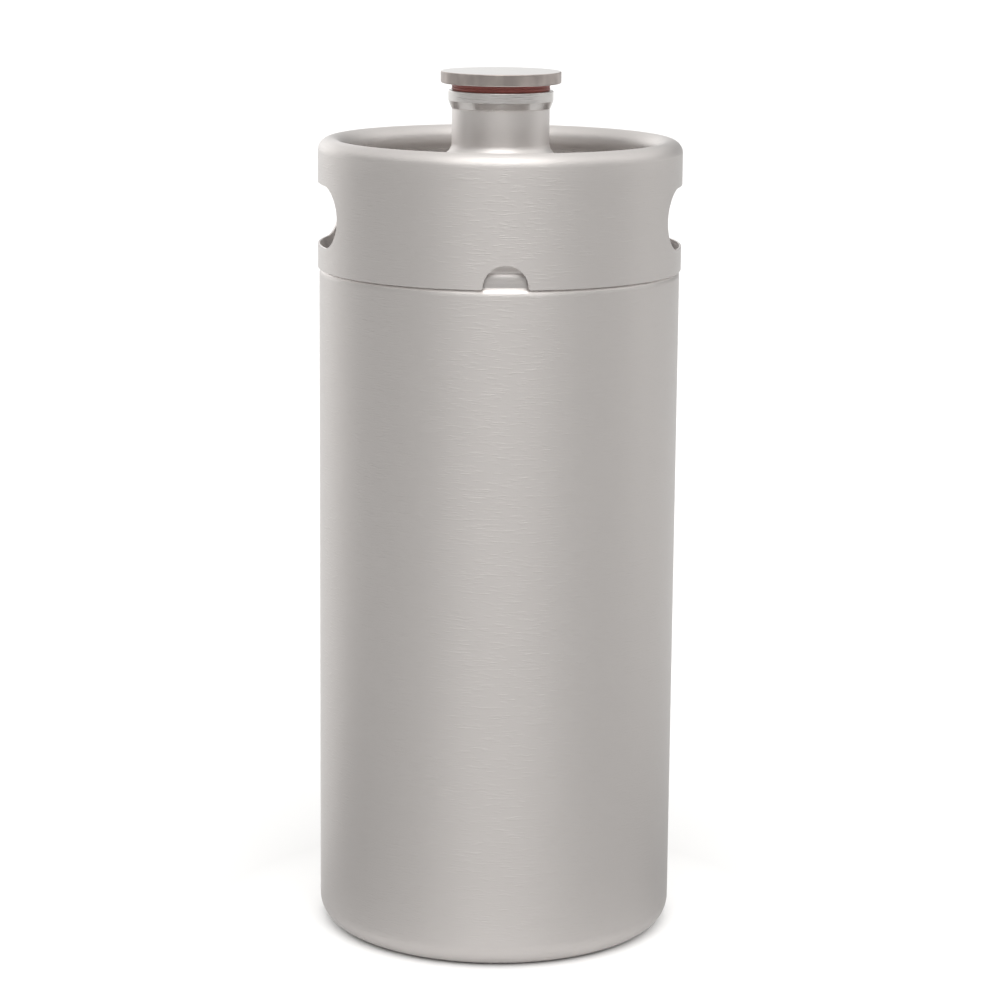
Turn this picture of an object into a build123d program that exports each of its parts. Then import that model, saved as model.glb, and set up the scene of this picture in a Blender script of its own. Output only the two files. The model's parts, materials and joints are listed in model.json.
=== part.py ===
from build123d import *
import os

# Double-walled (vacuum insulated) stainless steel mini keg with a screw lid.
# Millimetres, +Z up. Origin: centre of the foot ring, on the surface the keg stands on.
# The front drain notch of the collar faces -Y and the two hand holes face +X and -X.

# ---- driving dimensions ------------------------------------------------------------------------
body_radius = 80.0          # outside of the straight body
sheet = 0.8                 # thickness of the drawn steel sheet
foot_corner_radius = 11.0   # outside rounding of the bottom edge
foot_inner_radius = 65.6    # inner edge of the foot ring
base_recess = 4.5           # height of the bottom plate above the table
base_joint_radius = 60.0    # where the bottom plate meets the turned-in foot
outer_joint_z = 12.0        # butt joint of outer base and outer shell
shoulder_z = 297.4          # top of the straight body
shoulder_round = 4.0        # rounding from the body in to the set-back ring
collar_foot_z = 300.5       # lower edge of the collar, just clear of the rounding
spigot_radius = 77.8        # set-back ring that the collar fits over
spigot_joint_z = 303.0      # butt joint of shell and shoulder
spigot_top_z = 307.4
dome_joint = (65.5, 314.19)     # butt joint on the flank, radius and height
crown_z = 351.9             # height of the crown at the neck

collar_radius = 80.65
collar_sheet = 1.0
bead_radius = 5.6           # rolled rim, outside radius of the bead
rim_top_z = 357.6
hand_hole_width = 73.5
hand_hole_height = 27.0
hand_hole_z = 324.7
notch_radius = 9.8
notch_centre_z = 301.1

inner_radius = 72.8         # outside of the inner vessel
inner_bottom_z = 10.5
inner_corner_radius = 10.0
inner_joint_low_z = 22.0
inner_joint_high_z = 284.0
inner_corner_z = 290.0

neck_radius = 21.6
neck_bore = 19.6
neck_foot_z = 343.5
neck_joint_z = 362.0
lip_radius = 23.2
lip_top_z = 378.7

gasket_radius = 21.7
gasket_bore = 19.5
gasket_top_z = 381.9
lid_radius = 26.6
lid_top_z = 387.1

thread_pitch = 3.0
female_major = 20.65        # root radius of the thread cut in the neck
female_minor = 19.6
male_major = 20.45          # crest radius of the thread on the plug
male_minor = 19.3
ridge_root = 1.9            # width of a thread ridge at its root
ridge_crest = 0.9           # width of a thread ridge at its crest
female_start_z = 367.2
female_turns = 3.0
male_start_z = female_start_z + thread_pitch / 2
male_turns = 2.5

plug_bottom_z = 367.0
plug_wall = 1.9

os.makedirs("parts", exist_ok=True)

# ---- outer vessel ------------------------------------------------------------------------------
# Outer base: turned-in foot ring and rounded bottom edge.
with BuildPart() as outer_base:
    with BuildSketch(Plane.XZ) as base_profile:
        with BuildLine():
            FilletPolyline(
                (base_joint_radius, base_recess), (64.0, base_recess), (foot_inner_radius, 0), (68.5, 0),
                radius=1.5,
            )
            Line((68.5, 0), (body_radius - foot_corner_radius, 0))
            RadiusArc(
                (body_radius - foot_corner_radius, 0), (body_radius, foot_corner_radius), -foot_corner_radius,
            )
            Line((body_radius, foot_corner_radius), (body_radius, outer_joint_z))
            offset(amount=sheet, side=Side.LEFT)
        make_face()
    revolve(axis=Axis.Z)
outer_base.part.label = "outer_base"
export_step(outer_base.part, "parts/outer_base.step")

# Outer shell: straight body, rounded shoulder and the foot of the set-back ring.
with BuildPart() as outer_shell:
    with BuildSketch(Plane.XZ) as shell_profile:
        with BuildLine():
            Line((body_radius, outer_joint_z), (body_radius, shoulder_z))
            shoulder = CenterArc((body_radius - shoulder_round, shoulder_z), shoulder_round, 0, 58)
            RadiusArc(shoulder @ 1, (spigot_radius, shoulder_z + 3.969), 0.68)
            Line((spigot_radius, shoulder_z + 3.969), (spigot_radius, spigot_joint_z))
            offset(amount=sheet, side=Side.LEFT)
        make_face()
    revolve(axis=Axis.Z)
outer_shell.part.label = "outer_shell"
export_step(outer_shell.part, "parts/outer_shell.step")

# Collar seat: upper half of the set-back ring, the drain ledge inside it and the start of the flank.
with BuildPart() as collar_seat:
    with BuildSketch(Plane.XZ) as seat_profile:
        with BuildLine():
            seat_1 = FilletPolyline(
                (spigot_radius, spigot_joint_z), (spigot_radius, spigot_top_z), (73.0, 308.48), radius=3.0
            )
            seat_2 = FilletPolyline(seat_1 @ 1, (68.0, 309.6), dome_joint, radius=9.0)
            offset(amount=sheet, side=Side.LEFT)
        make_face()
    revolve(axis=Axis.Z)
collar_seat.part.label = "collar_seat"
export_step(collar_seat.part, "parts/collar_seat.step")

# Shoulder dome: steep flank that leaves room for the fingers behind the hand holes, and a sloping
# crown that sheds spills, with the opening for the neck.
with BuildPart() as shoulder_dome:
    with BuildSketch(Plane.XZ) as dome_profile:
        with BuildLine():
            FilletPolyline(dome_joint, (52.0, 338.98), (neck_radius, crown_z), radius=30.0)
            offset(amount=sheet, side=Side.LEFT)
        make_face()
    revolve(axis=Axis.Z)
    with BuildSketch(Plane.XY.offset(340)):
        Circle(neck_radius)
    extrude(amount=20, mode=Mode.SUBTRACT)
shoulder_dome.part.label = "shoulder_dome"
export_step(shoulder_dome.part, "parts/shoulder_dome.step")

# Bottom plate of the vacuum jacket, with the raised pocket for the sealing bead and its vent hole.
with BuildPart() as base_plate:
    with BuildSketch(Plane.XZ):
        with BuildLine():
            FilletPolyline(
                (0, base_recess + 1.4), (8.0, base_recess + 1.4), (9.6, base_recess), (base_joint_radius, base_recess),
                radius=0.9,
            )
            offset(amount=sheet, side=Side.LEFT)
        make_face()
    revolve(axis=Axis.Z)
    with Locations((0, 0, base_recess)):
        Hole(radius=1.5)
base_plate.part.label = "base_plate"
export_step(base_plate.part, "parts/base_plate.step")

# Glass sealing bead that closes the evacuation hole from below.
with BuildPart() as vacuum_seal:
    with BuildSketch(Plane.XZ):
        with BuildLine():
            Polyline(
                (0, base_recess + 0.3), (3.0, base_recess + 0.3), (4.0, base_recess + 0.8), (4.0, base_recess + 1.4),
                (1.5, base_recess + 1.4), (1.5, base_recess + 2.2), (0, base_recess + 2.2), close=True,
            )
        make_face()
    revolve(axis=Axis.Z)
vacuum_seal.part.label = "vacuum_seal"
export_step(vacuum_seal.part, "parts/vacuum_seal.step")

# Round cover plate spot-welded over the bottom plate, flat with a chamfered lower edge.
with BuildPart() as base_cover:
    with BuildSketch(Plane.XY.offset(base_recess - 0.6)):
        Circle(57.0)
    extrude(amount=0.6)
    chamfer(base_cover.faces().sort_by(Axis.Z)[0].edges(), length=0.3)
base_cover.part.label = "base_cover"
export_step(base_cover.part, "parts/base_cover.step")

# ---- inner vessel ------------------------------------------------------------------------------
with BuildPart() as inner_wall:
    with BuildSketch(Plane.XY.offset(inner_joint_low_z)):
        Circle(inner_radius)
        Circle(inner_radius - sheet, mode=Mode.SUBTRACT)
    extrude(amount=inner_joint_high_z - inner_joint_low_z)
inner_wall.part.label = "inner_wall"
export_step(inner_wall.part, "parts/inner_wall.step")

# Inner bottom: a drawn cup with a large corner radius.
with BuildPart() as inner_bottom:
    with BuildSketch(Plane.XZ):
        with BuildLine():
            FilletPolyline(
                (0, inner_bottom_z), (inner_radius, inner_bottom_z), (inner_radius, inner_joint_low_z),
                radius=inner_corner_radius,
            )
            offset(amount=sheet, side=Side.LEFT)
        make_face()
    revolve(axis=Axis.Z)
inner_bottom.part.label = "inner_bottom"
export_step(inner_bottom.part, "parts/inner_bottom.step")

# Inner shoulder: a cone up to the neck, so that the last of the drink pours out.
with BuildPart() as inner_shoulder:
    with BuildSketch(Plane.XZ):
        with BuildLine():
            inner_1 = FilletPolyline(
                (inner_radius, inner_joint_high_z), (inner_radius, inner_corner_z), (48.0, 319.0), radius=12.0
            )
            inner_2 = FilletPolyline(inner_1 @ 1, (26.5, 344.14), (neck_radius, 345.6), radius=6.0)
            offset(amount=sheet, side=Side.LEFT)
        make_face()
    revolve(axis=Axis.Z)
    with BuildSketch(Plane.XY.offset(335)):
        Circle(neck_radius)
    extrude(amount=20, mode=Mode.SUBTRACT)
inner_shoulder.part.label = "inner_shoulder"
export_step(inner_shoulder.part, "parts/inner_shoulder.step")

# Reflecting foil wrapped round the inner vessel.
foil = 0.15
with BuildPart() as heat_shield_foil:
    with BuildSketch(Plane.XY.offset(inner_joint_low_z + 6)):
        Circle(inner_radius + foil)
        Circle(inner_radius, mode=Mode.SUBTRACT)
    extrude(amount=inner_joint_high_z - inner_joint_low_z - 12)
heat_shield_foil.part.label = "heat_shield_foil"
export_step(heat_shield_foil.part, "parts/heat_shield_foil.step")

# Ceramic ring that carries the inner vessel on the bottom plate, with three relief gaps.
with BuildPart() as support_spacer:
    with BuildSketch(Plane.XY.offset(base_recess + sheet)):
        Circle(28.0)
        Circle(20.0, mode=Mode.SUBTRACT)
    extrude(amount=inner_bottom_z - base_recess - sheet)
    with BuildSketch(Plane.XY.offset(base_recess + sheet)):
        with PolarLocations(24.0, 3):
            Rectangle(12.0, 6.0)
    extrude(amount=2.5, mode=Mode.SUBTRACT)
support_spacer.part.label = "support_spacer"
export_step(support_spacer.part, "parts/support_spacer.step")

# Getter pill that keeps the vacuum, in its sheet cradle under the inner vessel.
getter_x = 42.0
with BuildPart() as getter:
    with BuildSketch(Plane.XY.offset(inner_bottom_z - 3.0)) as pill:
        with Locations((getter_x, 0)):
            Circle(5.0)
    extrude(amount=2.6)
    fillet(getter.edges().filter_by(GeomType.CIRCLE), radius=0.4)
getter.part.label = "getter"
export_step(getter.part, "parts/getter.step")

with BuildPart() as getter_holder:
    with BuildSketch(Plane.XZ.offset(-3.0)) as strap:
        with BuildLine():
            Polyline(
                (getter_x - 11, inner_bottom_z), (getter_x - 5.4, inner_bottom_z),
                (getter_x - 5.4, inner_bottom_z - 3.0), (getter_x + 5.4, inner_bottom_z - 3.0),
                (getter_x + 5.4, inner_bottom_z), (getter_x + 11, inner_bottom_z),
                (getter_x + 11, inner_bottom_z - 0.4), (getter_x + 5.8, inner_bottom_z - 0.4),
                (getter_x + 5.8, inner_bottom_z - 3.4), (getter_x - 5.8, inner_bottom_z - 3.4),
                (getter_x - 5.8, inner_bottom_z - 0.4), (getter_x - 11, inner_bottom_z - 0.4),
                close=True,
            )
        make_face()
    extrude(amount=6.0)
getter_holder.part.label = "getter_holder"
export_step(getter_holder.part, "parts/getter_holder.step")

# ---- neck --------------------------------------------------------------------------------------
# Thick neck tube: both vessels are welded to its outside, the inner one low and the outer one high.
with BuildPart() as neck_tube:
    with BuildSketch(Plane.XZ):
        with BuildLine():
            Polyline(
                (neck_bore, neck_foot_z + 0.5), (neck_bore + 0.5, neck_foot_z), (neck_radius, neck_foot_z),
                (neck_radius, neck_joint_z), (neck_bore, neck_joint_z), close=True,
            )
        make_face()
    revolve(axis=Axis.Z)
neck_tube.part.label = "neck_tube"
export_step(neck_tube.part, "parts/neck_tube.step")

# Weld bead dressed to a smooth fillet where the neck leaves the dome.
weld_radius = 25.0
weld_z = crown_z - (weld_radius - neck_radius) * (crown_z - 338.98) / (52.0 - neck_radius)
with BuildPart() as neck_weld:
    with BuildSketch(Plane.XZ):
        with BuildLine():
            Line((neck_radius, crown_z + 0.02), (neck_radius, crown_z + 3.7))
            RadiusArc((neck_radius, crown_z + 3.7), (weld_radius, weld_z + 0.02), -5.8)
            Line((weld_radius, weld_z + 0.02), (neck_radius, crown_z + 0.02))
        make_face()
    revolve(axis=Axis.Z)
neck_weld.part.label = "neck_weld"
export_step(neck_weld.part, "parts/neck_weld.step")

# Threaded ferrule: lip, undercut cone below the lip, and the internal lid thread as a real helix.
with BuildPart() as neck_ferrule:
    with BuildSketch(Plane.XZ):
        with BuildLine():
            Polyline(
                (neck_bore, neck_joint_z), (neck_radius, neck_joint_z), (neck_radius, 370.8), (21.95, 371.2),
                (lip_radius, 374.3), (lip_radius, lip_top_z - 0.35), (lip_radius - 0.35, lip_top_z),
                (female_major + 0.2, lip_top_z), (female_major, lip_top_z - 0.2), (female_major, 365.0),
                (neck_bore, 364.0), close=True,
            )
        make_face()
    revolve(axis=Axis.Z)
    with BuildLine() as female_helix:
        Helix(thread_pitch, female_turns * thread_pitch, female_major, center=(0, 0, female_start_z))
    with BuildSketch(Plane.XZ) as female_ridge:
        with BuildLine():
            Polyline(
                (female_major + 0.25, female_start_z - ridge_root / 2),
                (female_major, female_start_z - ridge_root / 2),
                (female_minor, female_start_z - ridge_crest / 2),
                (female_minor, female_start_z + ridge_crest / 2),
                (female_major, female_start_z + ridge_root / 2),
                (female_major + 0.25, female_start_z + ridge_root / 2),
                close=True,
            )
        make_face()
    sweep(path=female_helix.wires()[0], is_frenet=True)
neck_ferrule.part.label = "neck_ferrule"
export_step(neck_ferrule.part, "parts/neck_ferrule.step")

# ---- collar ------------------------------------------------------------------------------------
# Carrying collar: straight ring with two obround hand holes and two drain notches.
bead_z = rim_top_z - bead_radius
with BuildPart() as top_collar:
    with BuildSketch(Plane.XY.offset(collar_foot_z)):
        Circle(collar_radius)
        Circle(collar_radius - collar_sheet, mode=Mode.SUBTRACT)
    extrude(amount=bead_z - collar_foot_z)
    with BuildSketch(Plane.YZ.offset(-100)):
        with Locations((0, hand_hole_z)):
            SlotOverall(hand_hole_width, hand_hole_height)
    extrude(amount=200, mode=Mode.SUBTRACT)
    with BuildSketch(Plane.XZ.offset(-100)):
        with Locations((0, notch_centre_z)):
            Circle(notch_radius)
        with Locations((0, collar_foot_z - 0.25)):
            Rectangle(2 * notch_radius + 1.1, 1.2)
    extrude(amount=200, mode=Mode.SUBTRACT)
top_collar.part.label = "top_collar"
export_step(top_collar.part, "parts/top_collar.step")

# Rolled rim: the curled bead along the top of the collar, which a hand grips.
with BuildPart() as rolled_rim:
    with BuildSketch(Plane.XZ):
        with BuildLine():
            CenterArc((collar_radius - bead_radius, bead_z), bead_radius, 0, 285)
            offset(amount=collar_sheet, side=Side.LEFT)
        make_face()
    revolve(axis=Axis.Z)
rolled_rim.part.label = "rolled_rim"
export_step(rolled_rim.part, "parts/rolled_rim.step")

# Four weld runs between the collar and the set-back ring, left open at the drain notches.
with BuildPart() as collar_welds:
    with BuildSketch(Plane.XZ):
        with BuildLine():
            Polyline(
                (spigot_radius, 301.5), (collar_radius - collar_sheet, 301.5), (collar_radius - collar_sheet, 303.3),
                (spigot_radius, 302.7), close=True,
            )
        make_face()
    revolve(axis=Axis.Z)
    with BuildSketch(Plane.XY.offset(300)):
        Rectangle(40, 170)
        Rectangle(170, 24)
    extrude(amount=5, mode=Mode.SUBTRACT)
collar_welds.part.label = "collar_welds"
export_step(collar_welds.part, "parts/collar_welds.step")

# ---- lid ---------------------------------------------------------------------------------------
# Silicone seal between the lip and the lid, with a shallow groove round its outside.
with BuildPart() as lid_gasket:
    with BuildSketch(Plane.XZ):
        with BuildLine():
            Polyline(
                (gasket_bore, lip_top_z), (gasket_radius - 0.35, lip_top_z), (gasket_radius, lip_top_z + 0.6),
                (gasket_radius, lip_top_z + 1.3), (gasket_radius - 0.25, lip_top_z + 1.6),
                (gasket_radius, lip_top_z + 1.9), (gasket_radius, gasket_top_z - 0.5),
                (gasket_radius - 0.3, gasket_top_z), (gasket_bore, gasket_top_z), close=True,
            )
        make_face()
    revolve(axis=Axis.Z)
lid_gasket.part.label = "lid_gasket"
export_step(lid_gasket.part, "parts/lid_gasket.step")

with BuildPart() as lid_disc:
    with BuildSketch(Plane.XY.offset(gasket_top_z)):
        Circle(lid_radius)
    extrude(amount=lid_top_z - gasket_top_z)
    fillet(lid_disc.faces().sort_by(Axis.Z)[-1].edges(), radius=0.5)
    chamfer(lid_disc.faces().sort_by(Axis.Z)[0].edges(), length=0.45)
lid_disc.part.label = "lid_disc"
export_step(lid_disc.part, "parts/lid_disc.step")

# Hollow plug welded under the lid disc, with the external thread as a real helix.
with BuildPart() as lid_plug:
    with BuildSketch(Plane.XZ):
        with BuildLine():
            Polyline(
                (0, plug_bottom_z), (male_minor - 0.8, plug_bottom_z), (male_minor, plug_bottom_z + 0.5),
                (male_minor, gasket_top_z), (male_minor - plug_wall, gasket_top_z),
                (male_minor - plug_wall, plug_bottom_z + 1.2), (0, plug_bottom_z + 1.2), close=True,
            )
        make_face()
    revolve(axis=Axis.Z)
    with BuildLine() as male_helix:
        Helix(thread_pitch, male_turns * thread_pitch, male_minor, center=(0, 0, male_start_z))
    with BuildSketch(Plane.XZ) as male_ridge:
        with BuildLine():
            Polyline(
                (male_minor - 0.25, male_start_z - ridge_root / 2),
                (male_minor, male_start_z - ridge_root / 2),
                (male_major, male_start_z - ridge_crest / 2),
                (male_major, male_start_z + ridge_crest / 2),
                (male_minor, male_start_z + ridge_root / 2),
                (male_minor - 0.25, male_start_z + ridge_root / 2),
                close=True,
            )
        make_face()
    sweep(path=male_helix.wires()[0], is_frenet=True)
lid_plug.part.label = "lid_plug"
export_step(lid_plug.part, "parts/lid_plug.step")
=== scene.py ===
import json
import math

import bpy
from mathutils import Matrix, Vector
from mathutils.geometry import delaunay_2d_cdt

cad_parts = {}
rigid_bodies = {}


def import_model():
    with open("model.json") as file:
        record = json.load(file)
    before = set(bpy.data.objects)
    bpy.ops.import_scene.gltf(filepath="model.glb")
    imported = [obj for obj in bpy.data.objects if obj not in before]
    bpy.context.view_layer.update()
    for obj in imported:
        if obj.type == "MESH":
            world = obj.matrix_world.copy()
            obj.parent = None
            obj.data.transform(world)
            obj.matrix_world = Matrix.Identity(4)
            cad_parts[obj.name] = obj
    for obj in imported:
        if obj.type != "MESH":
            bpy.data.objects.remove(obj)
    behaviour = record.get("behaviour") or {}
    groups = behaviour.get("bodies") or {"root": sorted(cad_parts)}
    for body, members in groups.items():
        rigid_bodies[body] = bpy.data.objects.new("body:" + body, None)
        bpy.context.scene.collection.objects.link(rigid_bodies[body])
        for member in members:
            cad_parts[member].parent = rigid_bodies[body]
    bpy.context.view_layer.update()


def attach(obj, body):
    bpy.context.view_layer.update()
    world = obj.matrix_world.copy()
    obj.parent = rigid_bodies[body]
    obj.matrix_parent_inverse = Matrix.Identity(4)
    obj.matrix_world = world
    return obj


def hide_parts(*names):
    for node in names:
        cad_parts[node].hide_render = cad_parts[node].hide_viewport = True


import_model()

MM = 0.001

# ------------------------------------------------------------------------------------------------
# Camera: fitted to the photograph's perspective. The keg is turned 2 degrees about its own axis.
# ------------------------------------------------------------------------------------------------
YAW = math.radians(-2.0)
cam_data = bpy.data.cameras.new("camera")
cam_data.sensor_width = 36.0
cam_data.lens = 3216.05 / 1000.0 * 36.0
cam_data.clip_start, cam_data.clip_end = 0.05, 60.0
cam_data.dof.use_dof = False
cam = bpy.data.objects.new("camera", cam_data)
bpy.context.scene.collection.objects.link(cam)
turn = Matrix.Rotation(YAW, 4, "Z")
cam.matrix_world = (
    turn
    @ Matrix.Translation(Vector((1.228, -1424.28, 480.45)) * MM)
    @ Matrix.Rotation(math.pi / 2 - 0.19813, 4, "X")
    @ Matrix.Rotation(0.00909, 4, "Z")
)
bpy.context.scene.camera = cam


# ------------------------------------------------------------------------------------------------
# Profiles. A profile is a list of stretches; each holds its points and its outward normals in the
# (radius, height) plane, in millimetres. Travel keeps the metal on the left.
# ------------------------------------------------------------------------------------------------
def unit(v):
    n = math.hypot(*v)
    return (v[0] / n, v[1] / n)


def line(p, q, step=24.0):
    d = unit((q[0] - p[0], q[1] - p[1]))
    n = max(1, math.ceil(math.hypot(q[0] - p[0], q[1] - p[1]) / step))
    pts = [(p[0] + (q[0] - p[0]) * i / n, p[1] + (q[1] - p[1]) * i / n) for i in range(n + 1)]
    return pts, [(d[1], -d[0])] * (n + 1)


def arc(c, rad, a0, a1):
    """From angle a0 to a1 in degrees. Anticlockwise: the normals point away from the centre."""
    n = max(3, math.ceil(abs(a1 - a0) / (9.0 if rad < 0.6 else 6.0 if rad < 3 else 4.0)))
    s = 1.0 if a1 > a0 else -1.0
    pts, nor = [], []
    for i in range(n + 1):
        a = math.radians(a0 + (a1 - a0) * i / n)
        u = (math.cos(a), math.sin(a))
        pts.append((c[0] + rad * u[0], c[1] + rad * u[1]))
        nor.append((s * u[0], s * u[1]))
    return pts, nor


def corners(points, closed=False):
    """Straight runs between (r, z, rounding) points, with rounded corners."""
    n = len(points)
    out = []
    starts, ends, arcs = {}, {}, {}
    for i in range(n):
        p = points[i][:2]
        rad = points[i][2] if len(points[i]) > 2 else 0.0
        if not closed and i in (0, n - 1):
            starts[i] = ends[i] = p
            continue
        a, b = points[i - 1][:2], points[(i + 1) % n][:2]
        d0, d1 = unit((p[0] - a[0], p[1] - a[1])), unit((b[0] - p[0], b[1] - p[1]))
        cross = d0[0] * d1[1] - d0[1] * d1[0]
        turned = math.atan2(cross, d0[0] * d1[0] + d0[1] * d1[1])
        if rad <= 0 or abs(turned) < 1e-4:
            starts[i] = ends[i] = p
            continue
        t = rad * math.tan(abs(turned) / 2)
        s, e = (p[0] - d0[0] * t, p[1] - d0[1] * t), (p[0] + d1[0] * t, p[1] + d1[1] * t)
        side = 1.0 if turned > 0 else -1.0
        c = (s[0] - side * d0[1] * rad, s[1] + side * d0[0] * rad)
        a0 = math.degrees(math.atan2(s[1] - c[1], s[0] - c[0]))
        starts[i], ends[i] = s, e
        arcs[i] = arc(c, rad, a0, a0 + math.degrees(turned))
    for i in range(n if closed else n - 1):
        j = (i + 1) % n
        if i in arcs:
            out.append(arcs[i])
        if math.hypot(starts[j][0] - ends[i][0], starts[j][1] - ends[i][1]) > 1e-6:
            out.append(line(ends[i], starts[j]))
    return out


def sheet_profile(points, t, edge=0.15):
    """A drawn sheet of thickness t: the given air side, then the far side, with broken edges."""
    n = len(points)
    far = []
    for i in range(n):
        p = points[i][:2]
        rad = points[i][2] if len(points[i]) > 2 else 0.0
        dirs = []
        if i > 0:
            dirs.append(unit((p[0] - points[i - 1][0], p[1] - points[i - 1][1])))
        if i < n - 1:
            dirs.append(unit((points[i + 1][0] - p[0], points[i + 1][1] - p[1])))
        normals = [(-d[1], d[0]) for d in dirs]
        if len(normals) == 1:
            far.append((p[0] + normals[0][0] * t, p[1] + normals[0][1] * t, 0.0))
            continue
        m = (normals[0][0] + normals[1][0], normals[0][1] + normals[1][1])
        k = t * 2 / (m[0] ** 2 + m[1] ** 2)
        cross = dirs[0][0] * dirs[1][1] - dirs[0][1] * dirs[1][0]
        far.append((p[0] + m[0] * k, p[1] + m[1] * k, max(0.0, rad - t) if cross > 0 else (rad + t if rad else 0.0)))
    near = [tuple(p) if len(p) > 2 else (p[0], p[1], 0.0) for p in points]
    loop = near + far[::-1]
    loop[0] = (*loop[0][:2], edge)
    loop[n - 1] = (*loop[n - 1][:2], edge)
    loop[n] = (*loop[n][:2], edge)
    loop[-1] = (*loop[-1][:2], edge)
    return corners(loop, closed=True)


# ------------------------------------------------------------------------------------------------
# Meshes
# ------------------------------------------------------------------------------------------------
def build(name, verts, faces, normals, body, node):
    me = bpy.data.meshes.new(name)
    me.from_pydata(verts, [], faces)
    me.polygons.foreach_set("use_smooth", [True] * len(me.polygons))
    me.update()
    flat = [v for f in normals for v in f]
    me.normals_split_custom_set(flat)
    me.validate(clean_customdata=False)
    ob = bpy.data.objects.new(name, me)
    bpy.context.scene.collection.objects.link(ob)
    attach(ob, body)
    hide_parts(*([node] if isinstance(node, str) else node))
    return ob


def revolve(name, stretches, body, node, n=256, closed=True, waves=None):
    """Revolves the stretches about Z. waves maps a stretch's number to a function (angle, z) -> radius change."""
    waves = waves or {}
    rows, verts, faces, normals = [], [], [], []

    def add_row(r, z, wave):
        if r < 1e-6:
            verts.append((0.0, 0.0, z * MM))
            rows.append((len(verts) - 1, 1))
            return
        rows.append((len(verts), n))
        for j in range(n):
            a = 2 * math.pi * j / n
            rr = (r + (wave(a, z) if wave else 0.0)) * MM
            verts.append((rr * math.cos(a), rr * math.sin(a), z * MM))

    cos = [math.cos(2 * math.pi * j / n) for j in range(n + 1)]
    sin = [math.sin(2 * math.pi * j / n) for j in range(n + 1)]
    first = None
    for k, (pts, nor) in enumerate(stretches):
        wave = waves.get(k)
        last_stretch = closed and k == len(stretches) - 1
        index = []
        for i, p in enumerate(pts):
            if i == 0 and rows:
                index.append(len(rows) - 1)
            elif i == len(pts) - 1 and last_stretch:
                index.append(0)
            else:
                add_row(p[0], p[1], wave if 0 < i < len(pts) - 1 else None)
                index.append(len(rows) - 1)
        if first is None:
            first = index[0]
        for i in range(len(pts) - 1):
            (s0, c0), (s1, c1) = rows[index[i]], rows[index[i + 1]]
            for j in range(n):
                j1 = (j + 1) % n

                def nn(i_, j_):
                    if wave:
                        a, z, r = 2 * math.pi * j_ / n, pts[i_][1], pts[i_][0]
                        sgn = 1.0 if nor[i_][0] > 0 else -1.0
                        e = 0.03
                        dz = (wave(a, z + e) - wave(a, z - e)) / (2 * e)
                        da = (wave(a + e / r, z) - wave(a - e / r, z)) / (2 * e)
                        v = Vector((1.0, -da, -dz)) * sgn
                        v.normalize()
                        return (v.x * cos[j_] - v.y * sin[j_], v.x * sin[j_] + v.y * cos[j_], v.z)
                    return (nor[i_][0] * cos[j_], nor[i_][0] * sin[j_], nor[i_][1])

                if c0 == 1 and c1 == 1:
                    continue
                if c0 == 1:
                    faces.append((s0, s1 + j1, s1 + j))
                    up = (0.0, 0.0, nor[i][1])
                    normals.append([up, nn(i + 1, j + 1), nn(i + 1, j)])
                elif c1 == 1:
                    faces.append((s0 + j, s0 + j1, s1))
                    up = (0.0, 0.0, nor[i + 1][1])
                    normals.append([nn(i, j), nn(i, j + 1), up])
                else:
                    faces.append((s0 + j, s0 + j1, s1 + j1, s1 + j))
                    normals.append([nn(i, j), nn(i, j + 1), nn(i + 1, j + 1), nn(i + 1, j)])
    return build(name, verts, faces, normals, body, node)


# Outer base: turned-in foot and rounded bottom edge. Outer shell: body, rounded shoulder and the
# foot of the set-back ring.
base = revolve(
    "keg_foot",
    sheet_profile([(60.0, 4.5), (64.0, 4.5, 1.5), (65.6, 0.0, 1.5), (80.0, 0.0, 11.0), (80.0, 12.0)], 0.8, 0.01),
    "keg", "outer_base", n=288,
)


def shell_profile():
    """Body, 4 mm rounding, small hollow up to the set-back ring; then the far side of the 0.8 mm sheet."""
    c = (76.0, 297.4)
    a = math.radians(58.0)
    toe = (c[0] + 4.0 * math.cos(a), c[1] + 4.0 * math.sin(a))
    hollow = (toe[0] + 0.68 * math.cos(a), toe[1] + 0.68 * math.sin(a))
    out = [line((80.0, 12.0), (80.0, 297.4)), arc(c, 4.0, 0.0, 58.0), arc(hollow, 0.68, 238.0, 180.0)]
    top = out[-1][0][-1]
    out += [line(top, (top[0], 303.0)), line((top[0], 303.0), (top[0] - 0.8, 303.0))]
    out.append(line((top[0] - 0.8, 303.0), (top[0] - 0.8, top[1])))
    out += [arc(hollow, 1.48, 180.0, 238.0), arc(c, 3.2, 58.0, 0.0)]
    out += [line((79.2, 297.4), (79.2, 12.0)), line((79.2, 12.0), (80.0, 12.0))]
    return out


shell = revolve(
    "keg_body",
    shell_profile(),
    "keg", "outer_shell", n=288,
)
seat = revolve(
    "collar_seat_ring",
    sheet_profile([(77.8, 303.0), (77.8, 307.4, 3.0), (68.0, 309.6, 9.0), (65.5, 314.19)], 0.8, 0.02),
    "keg", "collar_seat", n=288,
)
dome = revolve(
    "keg_shoulder",
    sheet_profile([(65.5, 314.19), (52.0, 338.98, 30.0), (21.6, 351.9)], 0.8, 0.02),
    "keg", "shoulder_dome", n=192,
)


# Rolled rim: a bead of 5.6 mm outside radius, curled through 285 degrees, 1 mm sheet.
def rim_profile():
    c, end = (75.05, 352.0), 285.0
    out = [arc(c, 5.6, 0.0, end - 3.0)]
    a = math.radians(end)
    # rounded cut edge of the sheet
    m = (c[0] + 5.1 * math.cos(a), c[1] + 5.1 * math.sin(a))
    edge = arc(m, 0.45, end, end + 180.0)
    out.append(line(out[0][0][-1], edge[0][0]))
    out.append(edge)
    inner = arc(c, 4.6, end - 3.0, 0.0)
    out.append(line(edge[0][-1], inner[0][0]))
    out.append(inner)
    out.append(line(inner[0][-1], out[0][0][0]))
    return out


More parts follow.
